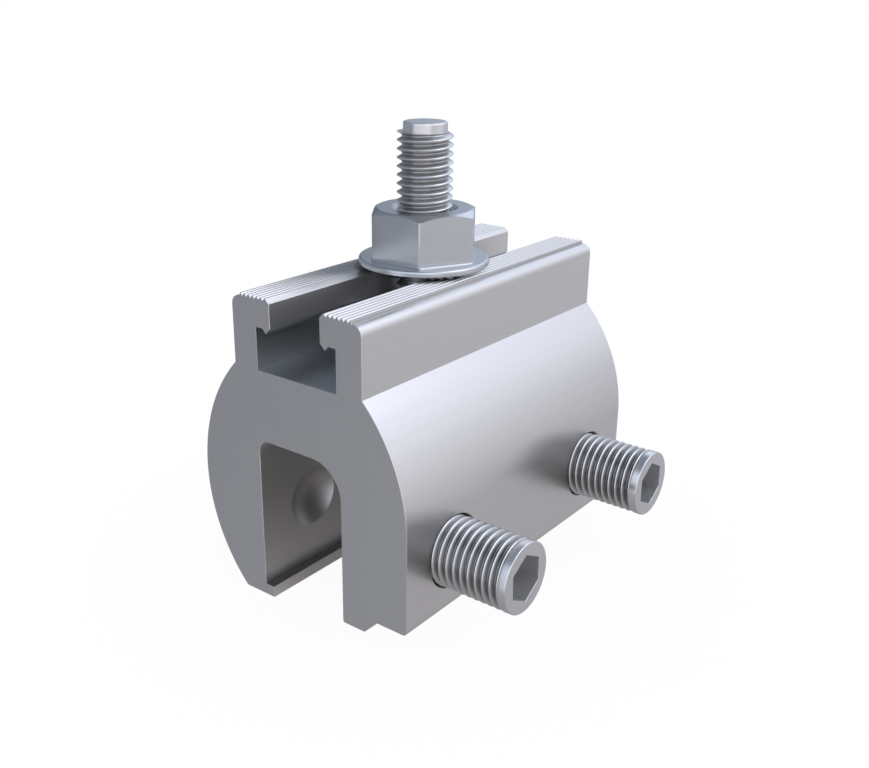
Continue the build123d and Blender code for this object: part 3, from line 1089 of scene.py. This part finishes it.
def build_world(scene):
    """White where the camera looks. The object sees a soft studio. Each direction's light is a dim
    level plus a power of how far it faces the bright side, with a dark patch overhead, a wide
    softbox in front and five small patches that single faces mirror. It is cooler on the far side
    of the bright one."""
    world = bpy.data.worlds.new("studio")
    scene.world = world
    board = NodeBoard(world)
    direction = board.add("ShaderNodeTexCoord").outputs["Generated"]

    def facing(x, y, z):
        inputs = {0: direction, 1: (x, y, z)}
        dot = board.add("ShaderNodeVectorMath", {"operation": "DOT_PRODUCT"}, inputs)
        return board.number(dot, "Value")

    bright_side = ((facing(0.576, 0.309, 0.757) + 1.0) * 0.5).clamped() ** 3.8
    overhead = facing(-0.35, 0.0, 0.937).above(0.68, 8.0)
    height = facing(0.0, 0.0, 1.0)
    softbox = facing(1.0, 0.0, 0.0).above(-0.46, 40.0) * facing(0.0, -1.0, 0.0).above(0.3, 5.0)
    softbox = softbox * height.above(-0.4, 8.0) * height.below(0.8, 8.0)
    level = bright_side * BRIGHT_SIDE + DIM
    level = level + overhead * (OVERHEAD - level)
    level = level + softbox * SOFTBOX

    # Small patches: the direction, where the patch starts, how steeply it sets in and its change
    patches = (
        ((-0.3, -0.75, -0.6), 0.9, 12.0, 0.08),
        ((-0.76, 0.58, 0.3), 0.95, 20.0, -0.33),
        ((-0.3, 0.82, 0.49), 0.93, 15.0, 0.58),
        ((0.482, 0.874, 0.05), 0.96, 30.0, -0.15),
        ((-0.5, -0.86, -0.1), 0.95, 25.0, -0.18),
    )
    for towards, start, steepness, change in patches:
        level = level + facing(*towards).above(start, steepness) * change
    cool_side = (facing(-0.62, 0.14, 0.77) * 0.5 + 0.5).clamped()
    studio = board.blend(cool_side, (0.84, 0.815, 0.84), (0.71, 0.815, 1.0))
    seen = board.number(board.add("ShaderNodeLightPath"), "Is Camera Ray")
    colour_seen = board.blend(seen, studio, (1.0, 1.0, 1.0))
    inputs = {"Color": colour_seen, "Strength": seen + (1.0 - seen) * level}
    background = board.add("ShaderNodeBackground", {}, inputs)
    board.add("ShaderNodeOutputWorld", {}, {"Surface": background.outputs[0]})


def build_lamp():
    """A large soft lamp, aimed at the frame's origin."""
    lamp = bpy.data.lights.new("softbox_above", "AREA")
    lamp.shape = "SQUARE"
    lamp.size = 0.30
    lamp.energy = 0.25
    holder = bpy.data.objects.new("softbox_above", lamp)
    holder.location = (0.25, 0.15, 0.42)
    holder.rotation_euler = (-holder.location).to_track_quat("-Z", "Y").to_euler()
    bpy.context.scene.collection.objects.link(holder)


def build_camera(scene):
    """The camera that took the picture: its place, its three angles and its lens, in 36 mm terms."""
    azimuth, elevation, roll = (math.radians(angle) for angle in (37.036, 20.927, 0.82))
    place = Vector((91.985, -119.861, 59.524)) * MM
    flat = math.cos(elevation)
    back = Vector((math.sin(azimuth) * flat, -math.cos(azimuth) * flat, math.sin(elevation)))
    level = Vector((math.cos(azimuth), math.sin(azimuth), 0.0))
    upward = back.cross(level)
    right = level * math.cos(roll) + upward * math.sin(roll)
    upright = upward * math.cos(roll) - level * math.sin(roll)
    lens = bpy.data.cameras.new("camera")
    lens.sensor_width = 36.0
    lens.lens = 43.949
    lens.clip_start = 0.005
    lens.clip_end = 20.0
    camera = bpy.data.objects.new("camera", lens)
    axes = Matrix((right, upright, back)).transposed().to_4x4()
    camera.matrix_world = Matrix.Translation(place) @ axes
    scene.collection.objects.link(camera)
    scene.camera = camera


OPERATORS = (CLAMP_OT_stage, CLAMP_OT_body, CLAMP_OT_bolt, CLAMP_OT_nut, CLAMP_OT_set_screws)
CLASSES = (BodySizes, HardwareSizes, Finishes, *OPERATORS, CLAMP_PT_panel)


def register():
    for item in CLASSES:
        bpy.utils.register_class(item)
    bpy.types.Scene.clamp_body_sizes = PointerProperty(type=BodySizes)
    bpy.types.Scene.clamp_hardware_sizes = PointerProperty(type=HardwareSizes)
    bpy.types.Scene.clamp_finishes = PointerProperty(type=Finishes)


def unregister():
    del bpy.types.Scene.clamp_finishes
    del bpy.types.Scene.clamp_hardware_sizes
    del bpy.types.Scene.clamp_body_sizes
    for item in reversed(CLASSES):
        bpy.utils.unregister_class(item)


def main():
    register()
    bpy.context.scene.view_settings.view_transform = "Standard"
    bpy.ops.clamp.stage()
    bpy.ops.clamp.body()
    bpy.ops.clamp.bolt()
    bpy.ops.clamp.nut()
    bpy.ops.clamp.set_screws()


if __name__ == "__main__":
    main()
